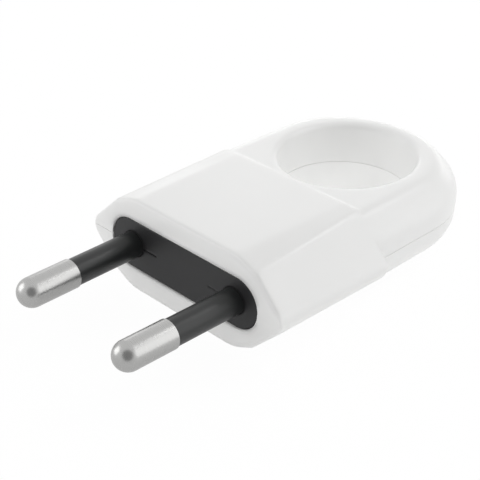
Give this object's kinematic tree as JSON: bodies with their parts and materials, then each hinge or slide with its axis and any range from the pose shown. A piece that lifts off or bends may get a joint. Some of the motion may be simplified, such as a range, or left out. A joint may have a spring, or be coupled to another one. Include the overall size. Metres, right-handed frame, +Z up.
{
  "type": "flat two-pin plug with finger ring",
  "caption": "Flat white mains plug with round sleeved pins, a dark pin carrier, a six-sided body in two shells and a finger ring at the back to pull it out by.",
  "frame": {"origin": "middle of the engagement face, on the mid-plane of the pins", "axes": "+Y from the engagement face back to the finger ring, so the pins point along -Y; +Z up from the flat underside; +X to the right, seen from the pins' side looking along +Y"},
  "size_m": [0.0356, 0.0686, 0.0137],
  "materials": {
    "casing": "white moulded plastic with a soft shine",
    "carrier": "dark moulded plastic, dull",
    "sleeve": "dark moulded plastic with a soft shine",
    "plated_pin": "nickel-plated brass, polished, with fine turning marks",
    "screw": "zinc-plated steel",
    "clamp": "grey moulded plastic, dull"
  },
  "bodies": {
    "root": {"upper_shell": "casing", "lower_shell": "casing", "pin_carrier": "carrier", "contact_pin_left": "plated_pin", "contact_pin_right": "plated_pin", "pin_sleeve_left": "sleeve", "pin_sleeve_right": "sleeve", "terminal_screw_left": "screw", "terminal_screw_right": "screw", "cord_clamp": "clamp", "clamp_screws": "screw", "casing_screws": "screw"}
  },
  "joints": []
}
